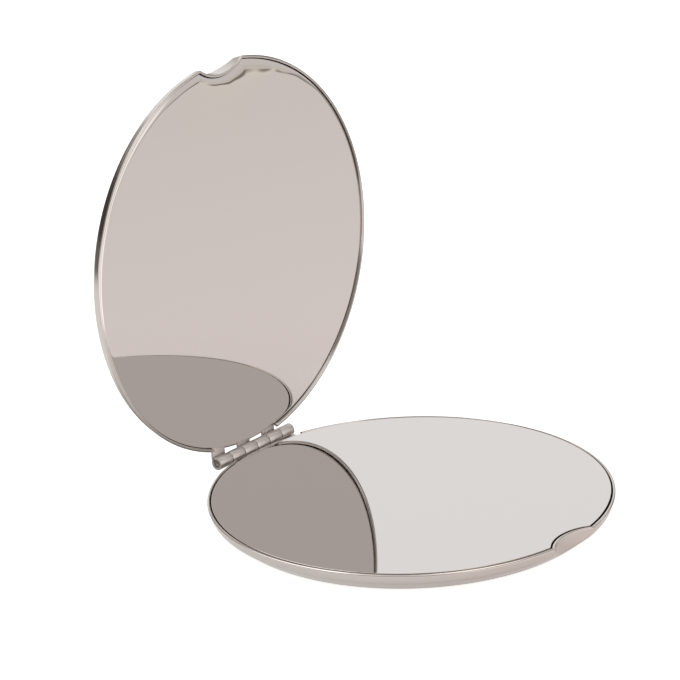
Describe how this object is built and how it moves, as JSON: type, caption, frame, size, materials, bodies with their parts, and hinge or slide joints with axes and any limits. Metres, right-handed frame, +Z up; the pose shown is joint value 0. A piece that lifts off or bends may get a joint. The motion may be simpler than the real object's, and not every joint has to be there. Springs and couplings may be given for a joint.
{
  "type": "compact mirror",
  "caption": "Thin round folding pocket mirror in steel, with a polished plate in each half, a knuckle hinge and a thumb notch in the rim, standing open",
  "frame": {"origin": "middle of the flat back of the lower half, on the surface that it rests on", "axes": "+Z up, out of the lower half's flat back and through its mirror; +Y towards the hinge; the thumb notch of the lower half at -Y; X along the hinge pin"},
  "size_m": [0.07, 0.0772, 0.0742],
  "materials": {
    "shell_steel": "satin",
    "mirror_plate": "polished",
    "hinge_steel": "satin",
    "pin_steel": "satin",
    "adhesive_tape": "matte",
    "spacer_board": "matte",
    "magnet_nickel": "polished"
  },
  "bodies": {
    "base": {"base_shell": "shell_steel", "base_mirror": "mirror_plate", "base_adhesive_front": "adhesive_tape", "base_spacer": "spacer_board", "base_adhesive_back": "adhesive_tape", "base_magnet": "magnet_nickel", "base_hinge_leaf": "hinge_steel", "hinge_pin": "pin_steel"},
    "lid": {"lid_shell": "shell_steel", "lid_mirror": "mirror_plate", "lid_adhesive_front": "adhesive_tape", "lid_spacer": "spacer_board", "lid_adhesive_back": "adhesive_tape", "lid_magnet": "magnet_nickel", "lid_hinge_leaf": "hinge_steel"}
  },
  "joints": [
    {"name": "lid_hinge", "type": "hinge", "parent": "base", "child": "lid", "pos_m": [0, 0.03575, 0.00395], "axis": [-1, 0, 0], "range_deg": [-92.5, 87.5]}
  ]
}
